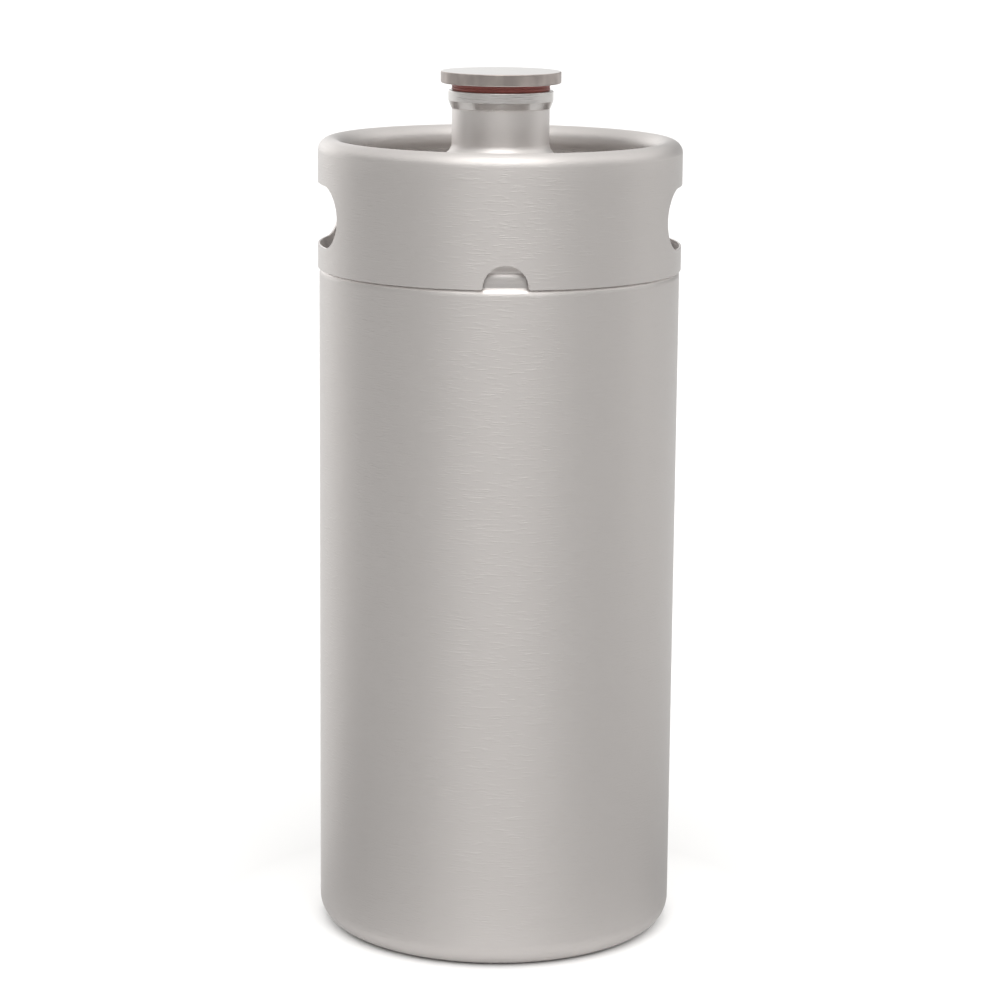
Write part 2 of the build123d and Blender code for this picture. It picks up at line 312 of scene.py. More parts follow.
rim = revolve("rolled_rim_bead", rim_profile(), "keg", "rolled_rim", n=288)


# Collar: a 1 mm ring, cut with two obround hand holes and two half-round drain notches. The cut
# edges are rounded all the way round.
def collar():
    R, t, e = 80.65, 1.0, 0.28
    z0, z1 = 300.5, 352.0
    n_top = 288
    start = math.pi / 4
    to_s = lambda a: R * a

    def hole(centre, n_end=28):
        """Anticlockwise outline of a hand hole with normals into the metal, as (s, z, ns, nz)."""
        half, rad, zc = 36.75, 13.5, 324.7
        flat = []
        for i in range(n_end + 1):
            a = -math.pi / 2 + math.pi * i / n_end
            flat.append((half - rad + rad * math.cos(a), zc + rad * math.sin(a), math.cos(a), math.sin(a)))
        k = 18
        for i in range(1, k):
            flat.append((half - rad - 2 * (half - rad) * i / k, zc + rad, 0.0, 1.0))
        for i in range(n_end + 1):
            a = math.pi / 2 + math.pi * i / n_end
            flat.append((-(half - rad) + rad * math.cos(a), zc + rad * math.sin(a), math.cos(a), math.sin(a)))
        for i in range(1, k):
            flat.append((-(half - rad) + 2 * (half - rad) * i / k, zc - rad, 0.0, -1.0))
        out = []
        for y, z, ny, nz in flat:
            a = math.asin(y / R)
            out.append((to_s(centre + a), z, ny, nz))
        return out

    def bottom():
        """Lower edge from the cut at 45 degrees round to 405, with both notches."""
        rn, zc, rc = 9.8, 301.1, 0.9
        pts = []
        a_pos = [start + 2 * math.pi * i / n_top for i in range(n_top + 1)]
        # rounding between notch and edge: a circle of rc outside the notch circle, tangent to the edge line
        yc = z0 + rc
        dx = math.sqrt((rn + rc) ** 2 - (yc - zc) ** 2)
        notches = [to_s(math.pi / 2), to_s(3 * math.pi / 2)]
        reach = dx + 0.4

        def notch(sc):
            res = []
            # left rounding: from the edge line up into the notch
            cx, cz = sc - dx, yc
            aim = math.atan2(zc - cz, sc - cx)
            for i in range(9):
                a = -math.pi / 2 + (aim + math.pi / 2) * i / 8
                res.append((cx + rc * math.cos(a), cz + rc * math.sin(a), -math.cos(a), -math.sin(a)))
            a0 = math.atan2(cz - zc, cx - sc)
            a1 = math.pi - a0
            if a0 < 0:
                a0 += 2 * math.pi
            for i in range(1, 36):
                a = a0 + (a1 - a0) * i / 36
                res.append((sc + rn * math.cos(a), zc + rn * math.sin(a), math.cos(a), math.sin(a)))
            for s, z, ns, nz in [r for r in res[:9]][::-1]:
                res.append((2 * sc - s, z, -ns, nz))
            return res

        done = set()
        for a in a_pos:
            s = to_s(a)
            near = next((q for q in notches if abs(s - q) < reach), None)
            if near is None:
                pts.append((s, z0, 0.0, 1.0))
            elif near not in done:
                done.add(near)
                pts += notch(near)
        return pts

    loops = {"hole0": hole(2 * math.pi), "hole1": hole(math.pi)}
    low = bottom()
    verts, faces, normals = [], [], []

    def put(s, z, depth):
        a = s / R
        verts.append(((R - depth) * MM * math.cos(a), (R - depth) * MM * math.sin(a), z * MM))
        return len(verts) - 1

    def radial(s, k=1.0):
        a = s / R
        return (k * math.cos(a), k * math.sin(a), 0.0)

    # cross-section of a rounded cut edge: distance into the metal, depth below the outer face,
    # and the normal's radial and in-surface parts
    section = []
    for i in range(5):
        a = math.pi / 2 * i / 4
        section.append((e * (1 - math.sin(a)), e * (1 - math.cos(a)), math.cos(a), math.sin(a)))
    for i in range(5):
        a = math.pi / 2 * i / 4
        section.append((e * (1 - math.cos(a)), t - e * (1 - math.sin(a)), -math.sin(a), math.cos(a)))

    rings = {}

    def edge_strip(outline, key, is_closed, flip):
        m = len(outline)
        grid = []
        for s, z, ns, nz in outline:
            grid.append([put(s + ns * o, z + nz * o, d) for o, d, _, _ in section])
        rings[key] = grid
        for i in range(m if is_closed else m - 1):
            j = (i + 1) % m
            for k in range(len(section) - 1):
                quad = [(i, k), (j, k), (j, k + 1), (i, k + 1)]
                if flip:
                    quad = quad[::-1]
                faces.append(tuple(grid[a][b] for a, b in quad))
                nn = []
                for a, b in quad:
                    s, z, ns, nz = outline[a]
                    _, _, kr, ks = section[b]
                    th = s / R
                    nn.append((kr * math.cos(th) + ks * ns * math.sin(th), kr * math.sin(th) - ks * ns * math.cos(th), -ks * nz))
                normals.append(nn)

    edge_strip(loops["hole0"], "hole0", True, False)
    edge_strip(loops["hole1"], "hole1", True, False)
    edge_strip(low, "low", False, True)

    # the flat pattern of the wall, triangulated once and used for both faces
    pts, outer_ids, inner_ids = [], [], []

    def flat_point(s, z, ids=None):
        pts.append(Vector((s, z)))
        if ids:
            outer_ids.append(ids[0])
            inner_ids.append(ids[1])
        else:
            outer_ids.append(put(s, z, 0.0))
            inner_ids.append(put(s, z, t))
        return len(pts) - 1

    edges = []
    for key in ("hole0", "hole1"):
        ids = [
            flat_point(p[0] + p[2] * e, p[1] + p[3] * e, (rings[key][i][0], rings[key][i][-1]))
            for i, p in enumerate(loops[key])
        ]
        edges += [(ids[i], ids[(i + 1) % len(ids)]) for i in range(len(ids))]
    low_ids = [flat_point(p[0] + p[2] * e, p[1] + p[3] * e, (rings["low"][i][0], rings["low"][i][-1])) for i, p in enumerate(low)]
    edges += list(zip(low_ids, low_ids[1:]))
    s_of = lambda i: to_s(start + 2 * math.pi * i / n_top)
    top_ids = [flat_point(s_of(i), z1) for i in range(n_top + 1)]
    edges += list(zip(top_ids, top_ids[1:]))
    zs = [z0 + e + (z1 - z0 - e) * i / 22 for i in range(1, 22)]
    left = [low_ids[0]] + [flat_point(s_of(0), z) for z in zs] + [top_ids[0]]
    right = [low_ids[-1]] + [flat_point(s_of(n_top), z) for z in zs] + [top_ids[-1]]
    edges += list(zip(left, left[1:])) + list(zip(right, right[1:]))

    def clear(s, z, gap):
        for c in (2 * math.pi, math.pi):
            y = R * math.sin(min(1.5, max(-1.5, s / R - c)))
            if abs(s / R - c) < 1.2:
                dy = max(0.0, abs(y) - 23.25)
                if math.hypot(dy, z - 324.7) < 13.5 + e + gap:
                    return False
        for c in (math.pi / 2, 3 * math.pi / 2):
            d = s - to_s(c)
            if math.hypot(d, z - 301.1) < 9.8 + e + gap or (abs(d) < 11.2 + gap and z < z0 + 1.3 + gap):
                return False
        return True

    for i in range(1, n_top):
        for z in zs:
            if clear(s_of(i), z, 1.0):
                flat_point(s_of(i), z)
    co, _, tri, orig, _, _ = delaunay_2d_cdt(pts, edges, [], 0, 1e-7)
    back = [o[0] if o else None for o in orig]

    def hole_test(s, z):
        for c in (2 * math.pi, math.pi):
            if abs(s / R - c) < 1.2:
                dy = max(0.0, abs(R * math.sin(s / R - c)) - 23.25)
                if math.hypot(dy, z - 324.7) < 13.5 + e * 0.5:
                    return True
        for c in (math.pi / 2, 3 * math.pi / 2):
            d = s - to_s(c)
            if math.hypot(d, z - 301.1) < 9.8 + e * 0.5 and z < 311.3:
                return True
        return z < z0 + e * 0.6

    for f in tri:
        f = list(f)
        c = sum((co[i] for i in f), Vector((0, 0))) / 3
        if hole_test(c.x, c.y):
            continue
        p = [co[i] for i in f]
        area = (p[1] - p[0]).cross(p[2] - p[0])
        if abs(area) < 1e-9:
            continue
        if area < 0:
            f = f[::-1]
        ids = [back[i] for i in f]
        faces.append(tuple(outer_ids[i] for i in ids))
        normals.append([radial(pts[i].x) for i in ids])
        ids = ids[::-1]
        faces.append(tuple(inner_ids[i] for i in ids))
        normals.append([radial(pts[i].x, -1.0) for i in ids])
    # top butt face towards the rim
    for i in range(n_top):
        a, b = top_ids[i], top_ids[i + 1]
        faces.append((outer_ids[a], outer_ids[b], inner_ids[b], inner_ids[a]))
        normals.append([(0.0, 0.0, 1.0)] * 4)

    # weld the two ends of the flat pattern together
    weld = {}
    for a, b in zip(left, right):
        weld[outer_ids[b]] = outer_ids[a]
        weld[inner_ids[b]] = inner_ids[a]
    for a, b in zip(rings["low"][0], rings["low"][-1]):
        weld[b] = a
    faces = [tuple(weld.get(i, i) for i in f) for f in faces]
    keep = [(f, q) for f, q in zip(faces, normals) if len(set(f)) == len(f)]
    used = sorted({i for f, _ in keep for i in f})
    new = {old: k for k, old in enumerate(used)}
    return build(
        "carrying_collar", [verts[i] for i in used], [tuple(new[i] for i in f) for f, _ in keep], [q for _, q in keep],
        "keg", "top_collar",
    )


collar_ob = collar()


# Threads, as a change of radius over angle and height.
def thread(start_z, turns, root, crest, depth, pitch=3.0, fade=math.radians(40)):
    total = turns * 2 * math.pi

    def wave(a, z):
        best = 0.0
        k0 = int((z - start_z) / pitch)
        for k in range(k0 - 2, k0 + 3):
            phi = a % (2 * math.pi) + 2 * math.pi * k
            if phi < 0 or phi > total:
                continue
            d = abs(z - start_z - pitch * phi / (2 * math.pi))
            h = (root / 2 - d) / ((root - crest) / 2)
            h = min(1.0, max(0.0, h))
            h = h * h * (3 - 2 * h) * 0.25 + h * 0.75
            grow = min(1.0, min(phi, total - phi) / fade)
            best = max(best, h * grow ** 0.5)
        return best * depth

    return wave


neck_lower = revolve(
    "neck_wall",
    corners([(19.6, 344.0), (20.1, 343.5, 0.1), (21.6, 343.5, 0.2), (21.6, 362.0), (19.6, 362.0)], closed=True),
    "keg", "neck_tube", n=192,
)


def ferrule():
    out = corners(
        [
            (19.6, 362.0), (21.6, 362.0), (21.6, 370.85, 0.6), (22.0, 371.25, 0.3), (23.2, 374.3, 0.5), (23.2, 378.7, 0.4),
            (20.95, 378.7, 0.3), (20.65, 378.4),
        ]
    )
    k = len(out)
    n = 112
    z0, z1 = 378.4, 365.0
    out.append(([(20.65, z0 + (z1 - z0) * i / n) for i in range(n + 1)], [(-1.0, 0.0)] * (n + 1)))
    out += corners([(20.65, 365.0), (19.6, 364.0, 0.4), (19.6, 362.0)])
    w = thread(367.2, 3.0, 1.9, 0.9, 1.04)
    return revolve(
        "neck_ferrule_threaded", out, "keg", "neck_ferrule", n=256, waves={k: lambda a, z: -w(a, z)}
    )


neck_upper = ferrule()

# Weld fillet between the neck and the dome: a concave arc through its two toes.
def fillet_profile():
    top, toe, rad = (21.6, 355.6), (25.0, 350.475), 5.8
    mx, mz = (top[0] + toe[0]) / 2, (top[1] + toe[1]) / 2
    dx, dz = toe[0] - top[0], toe[1] - top[1]
    half = math.hypot(dx, dz) / 2
    h = math.sqrt(rad * rad - half * half)
    c = (mx - dz / (2 * half) * h, mz + dx / (2 * half) * h)
    a1 = math.degrees(math.atan2(top[1] - c[1], top[0] - c[0])) % 360
    a0 = math.degrees(math.atan2(toe[1] - c[1], toe[0] - c[0])) % 360
    run = arc(c, rad, a0, a1)
    foot = (21.6, 351.92)
    return [line(foot, run[0][0]), run, line(run[0][-1], foot)]


weld_ring = revolve("neck_fillet", fillet_profile(), "keg", "neck_weld", n=192)

# Lid
lid_top = revolve(
    "screw_lid",
    corners(
        [(0.0, 381.9), (26.15, 381.9, 0.12), (26.6, 382.35, 0.18), (26.6, 387.1, 0.5), (0.0, 387.1)]
    ),
    "lid", "lid_disc", n=192, closed=False,
)


def plug():
    out = corners([(0.0, 367.0), (18.5, 367.0, 0.2), (19.3, 367.5)])
    k = len(out)
    n, z0, z1 = 116, 367.5, 381.9
    out.append(([(19.3, z0 + (z1 - z0) * i / n) for i in range(n + 1)], [(1.0, 0.0)] * (n + 1)))
    out += corners([(19.3, 381.9), (17.4, 381.9), (17.4, 368.2, 0.6), (0.0, 368.2)])
    w = thread(368.7, 2.5, 1.9, 0.9, 1.14)
    return revolve("lid_plug_threaded", out, "lid", "lid_plug", n=256, closed=False, waves={k: w})


plug_ob = plug()

seal = revolve(
    "sealing_ring",
    corners(
        [
            (19.52, 378.7, 0.15), (21.3, 378.7, 0.25), (21.68, 379.25, 0.35), (21.68, 380.0, 0.2), (21.4, 380.3, 0.15),
            (21.68, 380.6, 0.2), (21.68, 381.4, 0.3), (21.35, 381.9, 0.2), (19.52, 381.9, 0.15),
        ],
        closed=True,
    ),
    "seal", "lid_gasket", n=192,
)


# ------------------------------------------------------------------------------------------------
# Materials
# ------------------------------------------------------------------------------------------------
class Nodes:
    def __init__(self, name):
        self.mat = bpy.data.materials.new(name)
        self.mat.use_nodes = True
        self.t = self.mat.node_tree
        self.t.nodes.clear()
        self.out = self.t.nodes.new("ShaderNodeOutputMaterial")
        self.bsdf = self.t.nodes.new("ShaderNodeBsdfPrincipled")
        self.t.links.new(self.bsdf.outputs[0], self.out.inputs["Surface"])

    def new(self, kind, **facts):
        n = self.t.nodes.new(kind)
        for k, v in facts.items():
            setattr(n, k, v)
        return n

    def link(self, a, b):
        self.t.links.new(a, b)

    def math(self, op, a, b=None, c=None):
        n = self.new("ShaderNodeMath", operation=op)
        for i, v in enumerate((a, b, c)):
            if v is None:
                continue
            if isinstance(v, (int, float)):
                n.inputs[i].default_value = v
            else:
                self.link(v, n.inputs[i])
        return n.outputs[0]

    def place(self):
        """x, y, z of the piece, and the brush coordinate that is constant along a turned line."""
        tc = self.new("ShaderNodeTexCoord")
        sep = self.new("ShaderNodeSeparateXYZ")
        self.link(tc.outputs["Object"], sep.inputs[0])
        x, y, z = sep.outputs
        r = self.math("SQRT", self.math("ADD", self.math("MULTIPLY", x, x), self.math("MULTIPLY", y, y)))
        q = self.math("SUBTRACT", z, self.math("MULTIPLY", r, 0.618))
        return tc.outputs["Object"], x, y, z, r, q

    def noise(self, x, y, z, sx, sz, detail=2.0, rough=0.5, seed=0.0):
        c = self.new("ShaderNodeCombineXYZ")
        self.link(self.math("MULTIPLY_ADD", x, sx, seed), c.inputs[0])
        self.link(self.math("MULTIPLY_ADD", y, sx, -seed), c.inputs[1])
        self.link(self.math("MULTIPLY", z, sz), c.inputs[2])
        n = self.new("ShaderNodeTexNoise")
        n.inputs["Scale"].default_value = 1.0
        n.inputs["Detail"].default_value = detail
        n.inputs["Roughness"].default_value = rough
        self.link(c.outputs[0], n.inputs["Vector"])
        return n.outputs["Fac"]

    def between(self, v, lo, hi, to_lo, to_hi):
        n = self.new("ShaderNodeMapRange")
        n.clamp = True
        self.link(v, n.inputs["Value"])
        for k, s in enumerate((lo, hi, to_lo, to_hi)):
            n.inputs[1 + k].default_value = s
        return n.outputs[0]

    def colour(self, fac, a, b):
        n = self.new("ShaderNodeMix", data_type="RGBA")
        if isinstance(fac, (int, float)):
            n.inputs["Factor"].default_value = fac
        else:
            self.link(fac, n.inputs["Factor"])
        for s, v in ((n.inputs[6], a), (n.inputs[7], b)):
            if isinstance(v, tuple):
                s.default_value = (*v, 1.0)
            else:
                self.link(v, s)
        return n.outputs[2]

    def bump(self, height, strength, distance, before=None):
        n = self.new("ShaderNodeBump")
        n.inputs["Strength"].default_value = strength
        n.inputs["Distance"].default_value = distance
        self.link(height, n.inputs["Height"])
        if before is not None:
            self.link(before, n.inputs["Normal"])
        return n.outputs[0]


def steel(name, tone, rough=0.432, aniso=0.794, dash=1.0, fine=1.0, zone=None, painted_light_ramp=None):
    """Circumferentially brushed stainless steel: fine grain, scattered short scratches, faint wiped patches.
    zone = (r from, r to, tone, roughness, mottle) gives another tone and roughness outside that radius; in the body,
    collar, seat and lid steels this is painted light and shade between faces;
    glow = (z from, z to, lift) brightens the metal towards the second height: painted light, a painted highlight in
    some materials and lifted shade in others."""
    m = Nodes(name)
    _, x, y, z, r, q = m.place()
    grain = m.noise(x, y, q, 240.0, 4200.0, 2.0, 0.6, 3.1)
    dashes = m.noise(x, y, q, 175.0, 1300.0, 1.6, 0.55, 11.7)
    scratch = m.between(dashes, 0.53, 0.72, 0.0, 1.0)
    long = m.noise(x, y, q, 30.0, 1900.0, 2.0, 0.6, 7.9)
    patch = m.noise(x, y, z, 14.0, 10.0, 2.0, 0.5, 5.3)
    marks = m.math(
        "ADD", m.math("MULTIPLY_ADD", grain, 0.05 * fine, m.math("MULTIPLY", scratch, 0.4 * dash)),
        m.math("MULTIPLY", long, 0.2 * dash),
    )
    tint = m.between(m.math("MULTIPLY_ADD", long, 0.55, m.math("MULTIPLY", dashes, 0.45)), 0.30, 0.70, 0.0, 1.0)

    def pair(c, k=0.004):
        return m.colour(tint, tuple(v * (1 - k) for v in c), tuple(min(1.0, v * (1 + k)) for v in c))

    colour, lo, hi = pair(tone), rough - 0.012, rough + 0.012
    spread = m.math("ADD", m.between(patch, 0.3, 0.7, lo, hi), m.math("MULTIPLY", scratch, 0.05 * dash))
    # painted light: the base colour is raised towards the second height
    if painted_light_ramp:
        z0, z1, lift = painted_light_ramp
        painted_light_fac = m.between(z, z0 * MM, z1 * MM, 0.0, 1.0)
        colour = m.colour(painted_light_fac, colour, tuple(min(1.0, v * lift) for v in tone))
    # another tone outside the radius; in several materials below this is painted light or painted shade between faces
    if zone:
        r0, r1, tone_out, rough_out, mottle = zone
        mask = m.between(r, r0 * MM, r1 * MM, 0.0, 1.0)
        outer = pair(tone_out)
        if painted_light_ramp:
            outer = m.colour(painted_light_fac, outer, tuple(min(1.0, v * lift) for v in tone_out))
        if mottle:
            spots = m.between(m.noise(x, y, z, 110.0, 60.0, 2.0, 0.5, 1.7), 0.40, 0.66, 0.0, mottle)
            outer = m.colour(spots, outer, tuple(min(1.0, v * 1.9) for v in tone_out))
        colour = m.colour(mask, colour, outer)
        away = m.math("MULTIPLY", m.math("SUBTRACT", rough_out, spread), mask)
        spread = m.math("ADD", spread, away)
    m.link(colour, m.bsdf.inputs["Base Color"])
    m.bsdf.inputs["Metallic"].default_value = 1.0
    m.link(spread, m.bsdf.inputs["Roughness"])
    m.bsdf.inputs["Anisotropic"].default_value = aniso
    m.bsdf.inputs["Anisotropic Rotation"].default_value = 0.25
    tan = m.new("ShaderNodeTangent", direction_type="RADIAL", axis="Z")
    m.link(tan.outputs[0], m.bsdf.inputs["Tangent"])
    m.link(m.bump(marks, 1.0, 0.00012), m.bsdf.inputs["Normal"])
    return m.mat


TONE = (0.532, 0.508, 0.495)
# painted light: a light steel tone that lifts the shade inside the collar
PAINTED_FILL_TONE = (0.93, 0.90, 0.885)
BRUSHED = steel("brushed_stainless", TONE)
# painted light and shade: lighter on the rounded edge under the collar, a painted highlight over the shaded seam, and
# darker on the wall inside it, painted shade seen through the notch
BODY_STEEL = steel(
    "brushed_body_steel", tuple(v * 0.46 for v in TONE), zone=(77.8, 78.2, TONE, 0.432, 0.0), painted_light_ramp=(298.9, 300.1, 1.75)
)
# the collar is brushed outside; its inside face and cut edges are lighter, painted light that lifts the shade inside
# the collar, and duller; the outside is lifted slightly towards the rim, a painted highlight
COLLAR_STEEL = steel("brushed_collar_steel", PAINTED_FILL_TONE, rough=0.62, zone=(80.45, 80.62, TONE, 0.432, 0.0), painted_light_ramp=(346.0, 352.0, 1.04))
# painted light and shade: the seat ring's round and ledge are lighter than the body, a painted highlight seen through
# the notch, and its outer face is darker, painted shade under the collar
SEAT_STEEL = steel("brushed_seat_steel", (0.62, 0.595, 0.58), rough=0.36, zone=(77.2, 77.6, tuple(v * 0.85 for v in TONE), 0.432, 0.0))
# painted highlight: the rim bead is lighter than the body and brightens further towards its top
RIM_STEEL = steel("rim_steel_painted_highlight", tuple(v * 1.07 for v in TONE), dash=0.6, painted_light_ramp=(352.0, 355.0, 1.05))
# painted light: the dome, which sits in the shade inside the collar, is lighter than the body to lift that shade
INSIDE = steel("drawn_dome_steel", (0.74, 0.715, 0.70), rough=0.55, aniso=0.3, dash=0.2)
# painted light: the neck and its ferrule are lighter than the body and brighten further towards the foot of the neck
NECK_STEEL = steel("turned_neck_steel", (0.665, 0.64, 0.625), rough=0.40, aniso=0.6, dash=0.3, painted_light_ramp=(372.0, 356.0, 1.14))
LIP_STEEL = steel(
    "turned_lip_steel", (0.665, 0.64, 0.625), rough=0.40, aniso=0.6, dash=0.3,
    zone=(21.7, 22.0, (0.58, 0.56, 0.547), 0.25, 0.1), painted_light_ramp=(372.0, 356.0, 1.14)
)
# painted light and shade: the lid's top takes a light tone, as it faces the light, and its side band a dark one, a
# painted reflection of the dim room in front; the side is also mottled at random
LID_STEEL = steel(
    "turned_lid_steel", (0.80, 0.79, 0.78), rough=0.30, aniso=0.0, dash=0.1, zone=(26.2, 26.45, (0.340, 0.303, 0.286), 0.36, 0.5)
)
# painted highlight: the weld fillet brightens towards the neck
WELD = steel("dressed_weld_steel", (0.60, 0.575, 0.56), rough=0.45, aniso=0.5, dash=0.2, painted_light_ramp=(353.0, 355.4, 1.25))
PLAIN = steel("drawn_stainless", (0.56, 0.54, 0.53), rough=0.26, aniso=0.3, fine=0.5, dash=0.1)


def silicone():
    m = Nodes("red_silicone")
    tc, x, y, z, r, q = m.place()
    n = m.new("ShaderNodeTexNoise")
    n.inputs["Scale"].default_value = 900.0
    n.inputs["Detail"].default_value = 3.0
    m.link(tc, n.inputs["Vector"])
    m.link(m.colour(m.between(n.outputs["Fac"], 0.3, 0.7, 0.0, 1.0), (0.265, 0.067, 0.055), (0.35, 0.096, 0.078)), m.bsdf.inputs["Base Color"])
    m.link(m.between(n.outputs["Fac"], 0.3, 0.7, 0.42, 0.55), m.bsdf.inputs["Roughness"])
    m.bsdf.inputs["Subsurface Weight"].default_value = 0.05
    m.bsdf.inputs["Subsurface Radius"].default_value = (0.002, 0.0006, 0.0004)
    m.link(m.bump(n.outputs["Fac"], 0.15, 0.00002), m.bsdf.inputs["Normal"])
    return m.mat


SILICONE = silicone()


def plain(name, lo, hi, rough, metal=0.0, scale=700.0, bump=0.2):
    m = Nodes(name)
    tc, x, y, z, r, q = m.place()
    n = m.new("ShaderNodeTexNoise")
    n.inputs["Scale"].default_value = scale
    n.inputs["Detail"].default_value = 4.0
    m.link(tc, n.inputs["Vector"])
    m.link(m.colour(m.between(n.outputs["Fac"], 0.3, 0.7, 0.0, 1.0), lo, hi), m.bsdf.inputs["Base Color"])
    m.link(m.between(n.outputs["Fac"], 0.3, 0.7, rough - 0.05, rough + 0.05), m.bsdf.inputs["Roughness"])
    m.bsdf.inputs["Metallic"].default_value = metal
    m.link(m.bump(n.outputs["Fac"], bump, 0.00003), m.bsdf.inputs["Normal"])
    return m.mat


FOIL = plain("shield_foil", (0.74, 0.75, 0.76), (0.86, 0.86, 0.87), 0.18, 1.0, 220.0, 0.5)
CERAMIC = plain("ring_ceramic", (0.68, 0.66, 0.60), (0.78, 0.76, 0.70), 0.65, 0.0, 1200.0)
GLASS_BEAD = plain("sealing_glass", (0.015, 0.02, 0.016), (0.03, 0.035, 0.03), 0.12, 0.0, 500.0, 0.1)
GETTER = plain("sintered_getter", (0.10, 0.10, 0.105), (0.16, 0.16, 0.165), 0.7, 1.0, 2600.0, 0.6)

finish = {
    "keg_foot": BRUSHED, "keg_body": BODY_STEEL, "collar_seat_ring": SEAT_STEEL, "keg_shoulder": INSIDE, "rolled_rim_bead": RIM_STEEL,
    "carrying_collar": COLLAR_STEEL, "neck_wall": NECK_STEEL, "neck_ferrule_threaded": LIP_STEEL, "neck_fillet": WELD,
    "screw_lid": LID_STEEL, "lid_plug_threaded": PLAIN, "sealing_ring": SILICONE,
    "base_cover": BRUSHED, "base_plate": PLAIN, "collar_welds": WELD, "inner_wall": PLAIN, "inner_bottom": PLAIN,
    "inner_shoulder": PLAIN, "heat_shield_foil": FOIL, "support_spacer": CERAMIC, "vacuum_seal": GLASS_BEAD,
    "getter": GETTER, "getter_holder": PLAIN,
}
for ob in bpy.data.objects:
    if ob.type != "MESH" or ob.name not in finish:
        continue
    ob.data.materials.clear()
    ob.data.materials.append(finish[ob.name])


# ------------------------------------------------------------------------------------------------
# Studio: pale floor, bright tent above it.
# ------------------------------------------------------------------------------------------------
def floor():
    n, rings = 96, [0.0, 0.3, 0.8, 1.6, 3.0, 6.0, 12.0]
    verts, faces = [(0.0, 0.0, -0.0001)], []
    for r in rings[1:]:
        verts += [(r * math.cos(2 * math.pi * j / n), r * math.sin(2 * math.pi * j / n), -0.0001) for j in range(n)]
    for j in range(n):
        faces.append((0, 1 + j, 1 + (j + 1) % n))
    for k in range(len(rings) - 2):
        a, b = 1 + k * n, 1 + (k + 1) * n
        faces += [(a + j, b + j, b + (j + 1) % n, a + (j + 1) % n) for j in range(n)]
    me = bpy.data.meshes.new("studio_floor")
    me.from_pydata(verts, [], faces)
    ob = bpy.data.objects.new("studio_floor", me)
    bpy.context.scene.collection.objects.link(ob)
    m = Nodes("floor_paper")
    tc, x, y, z, r, q = m.place()
    n_ = m.new("ShaderNodeTexNoise")
    n_.inputs["Scale"].default_value = 3.0
    m.link(tc, n_.inputs["Vector"])
    paper = m.colour(n_.outputs["Fac"], (0.79, 0.79, 0.79), (0.81, 0.81, 0.81))
    # painted light round the foot: the floor is lighter there, which takes out the keg's contact shadow
    foot_painted_light = m.between(r, 0.084, 0.13, 1.0, 0.0)
    paper = m.colour(foot_painted_light, paper, (0.95, 0.95, 0.95))
    # what the steel mirrors: a painted shadow on the floor beside and behind the keg, which the lens does not see
    near = m.between(r, 0.15, 0.62, 1.0, 0.0)
    side = m.between(m.math("DIVIDE", y, r), -0.85, 0.05, 0.0, 1.0)
    gap = m.math("MULTIPLY", m.between(m.math("DIVIDE", y, r), 0.25, 0.7, 0.0, 1.0), m.between(x, -0.10, -0.02, 0.85, 0.0))
    painted_floor_shadow = m.math("MULTIPLY", m.math("MULTIPLY", near, side), m.math("MULTIPLY_ADD", gap, -0.48, 0.48))
    seen = m.colour(painted_floor_shadow, m.colour(foot_painted_light, (0.67, 0.67, 0.668), (0.95, 0.95, 0.95)), (0.22, 0.22, 0.22))
    path = m.new("ShaderNodeLightPath")
    m.link(m.colour(path.outputs["Is Camera Ray"], seen, paper), m.bsdf.inputs["Base Color"])
    m.bsdf.inputs["Roughness"].default_value = 0.9
    m.bsdf.inputs["Specular IOR Level"].default_value = 0.1
    ob.data.materials.append(m.mat)
    return ob


floor()

# Light tent: wide soft light overhead that leans to the front, panels at the rear corners, and a
# dim room in front below them. Directions run in degrees from the keg's front round to its right.
LOW = [
    (-180, 1.0), (-165, 1.5), (-145, 1.75), (-128, 1.2), (-112, 0.5), (-97, 0.08), (60, 0.05), (82, 0.2), (97, 0.7),
    (112, 0.75), (130, 0.6), (148, 0.4), (165, 0.5), (180, 0.9),
]
MID = [
    (-180, 1.15), (-150, 1.2), (-130, 1.2), (-112, 1.3), (-97, 1.05), (-75, 0.85), (-52, 0.88), (-37, 1.15), (-20, 1.66), (-5, 1.68),
    (10, 1.62), (25, 1.47), (40, 1.46), (55, 1.43), (70, 1.7), (85, 2.05), (100, 1.85), (115, 1.5), (130, 1.1), (145, 0.85), (180, 1.1),
]
world = bpy.data.worlds.new("studio")
bpy.context.scene.world = world
world.use_nodes = True
wt = world.node_tree
wt.nodes.clear()


def w_new(kind, **facts):
    n = wt.nodes.new(kind)
    for k, v in facts.items():
        setattr(n, k, v)
    return n


def w_math(op, a_, b_=None, c_=None):
    n = w_new("ShaderNodeMath", operation=op)
    for i, v in enumerate((a_, b_, c_)):
        if isinstance(v, (int, float)):
            n.inputs[i].default_value = v
        elif v is not None:
            wt.links.new(v, n.inputs[i])
    return n.outputs[0]


def w_round(stops, position):
    ramp = w_new("ShaderNodeValToRGB")
    ramp.color_ramp.interpolation = "B_SPLINE"
    els = ramp.color_ramp.elements
    while len(els) > 1:
        els.remove(els[0])
    els[0].position = 0.0
    for i, (a_, v_) in enumerate(stops):
        e_ = els[0] if i == 0 else els.new((a_ + 180) / 360)
        e_.color = (v_ / 3, v_ / 3, v_ / 3, 1.0)
    wt.links.new(position, ramp.inputs[0])
    return w_math("MULTIPLY", ramp.outputs[0], 3.0)


def w_step(v, lo, hi):
    n = w_new("ShaderNodeMapRange", interpolation_type="SMOOTHSTEP")
    wt.links.new(v, n.inputs["Value"])
    n.inputs[1].default_value, n.inputs[2].default_value = lo, hi
    return n.outputs[0]


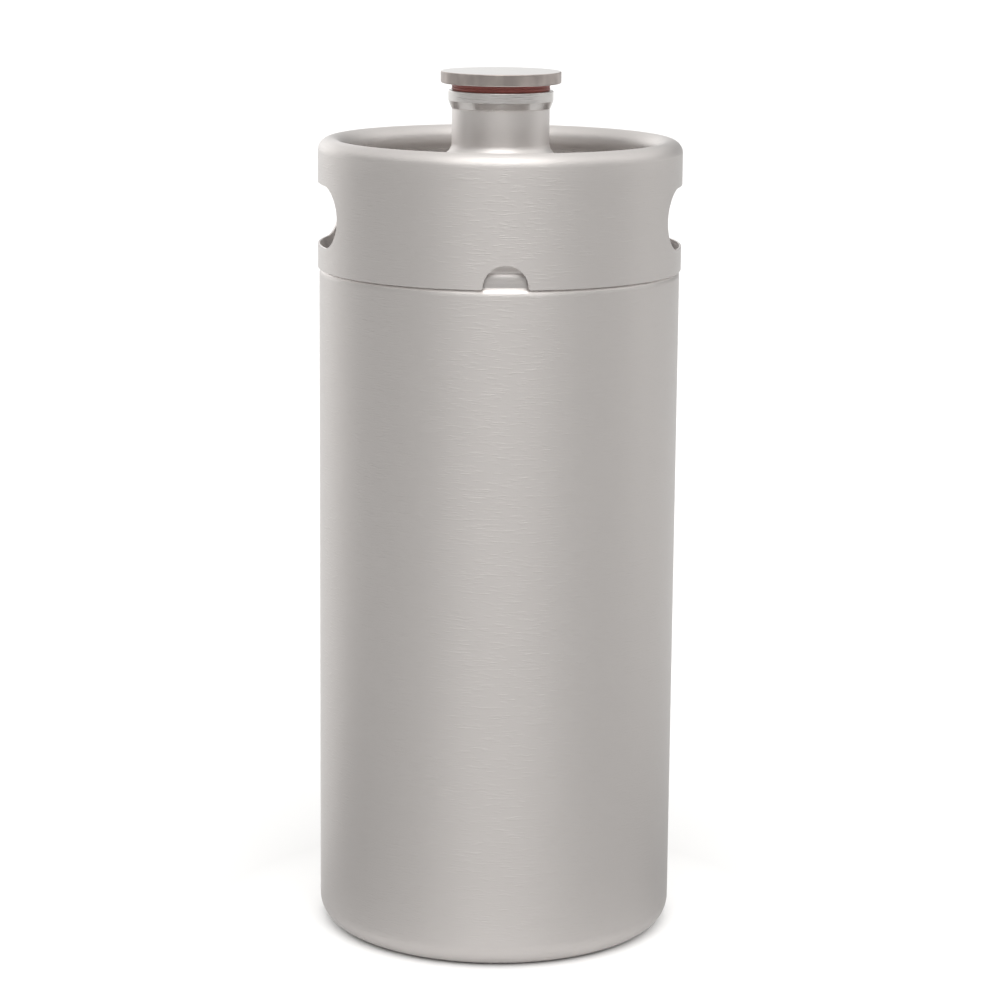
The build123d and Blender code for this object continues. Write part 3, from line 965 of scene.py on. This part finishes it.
def w_blend(f, a_, b_):
    return w_math("ADD", w_math("MULTIPLY", a_, w_math("SUBTRACT", 1.0, f)), w_math("MULTIPLY", b_, f))


w_tc = w_new("ShaderNodeTexCoord")
w_sep = w_new("ShaderNodeSeparateXYZ")
wt.links.new(w_tc.outputs["Generated"], w_sep.inputs[0])
w_x, w_y, w_z = w_sep.outputs
w_pos = w_math("MULTIPLY_ADD", w_math("ARCTAN2", w_x, w_math("MULTIPLY", w_y, -1.0)), 0.5 / math.pi, 0.5)
# the main light: a soft round source in front of and above the keg, on a ceiling that dims to the rear
w_aim = w_math("ADD", w_math("MULTIPLY", w_y, -math.cos(math.radians(42))), w_math("MULTIPLY", w_z, math.sin(math.radians(42))))
w_lamp = w_step(w_aim, math.cos(math.radians(40)), math.cos(math.radians(6)))
w_high = w_math("MULTIPLY_ADD", w_lamp, 1.85, w_math("MAXIMUM", w_math("MULTIPLY_ADD", w_y, -0.55, 1.35), 1.05))
w_sky = w_blend(
    w_step(w_z, math.sin(math.radians(25)), math.sin(math.radians(38))),
    w_blend(w_step(w_z, math.sin(math.radians(12)), math.sin(math.radians(27))), w_round(LOW, w_pos), w_round(MID, w_pos)),
    w_high,
)
w_bg = w_new("ShaderNodeBackground")
w_bg.inputs["Color"].default_value = (1.0, 0.995, 0.985, 1.0)
wt.links.new(w_sky, w_bg.inputs["Strength"])
w_plain = w_new("ShaderNodeBackground")
w_plain.inputs["Color"].default_value = (1.0, 1.0, 1.0, 1.0)
w_plain.inputs["Strength"].default_value = 1.05
w_path = w_new("ShaderNodeLightPath")
w_mix = w_new("ShaderNodeMixShader")
wt.links.new(w_path.outputs["Is Camera Ray"], w_mix.inputs[0])
wt.links.new(w_bg.outputs[0], w_mix.inputs[1])
wt.links.new(w_plain.outputs[0], w_mix.inputs[2])
w_out = w_new("ShaderNodeOutputWorld")
wt.links.new(w_mix.outputs[0], w_out.inputs["Surface"])

bpy.context.scene.view_settings.view_transform = "Standard"
bpy.context.scene.view_settings.look = "None"
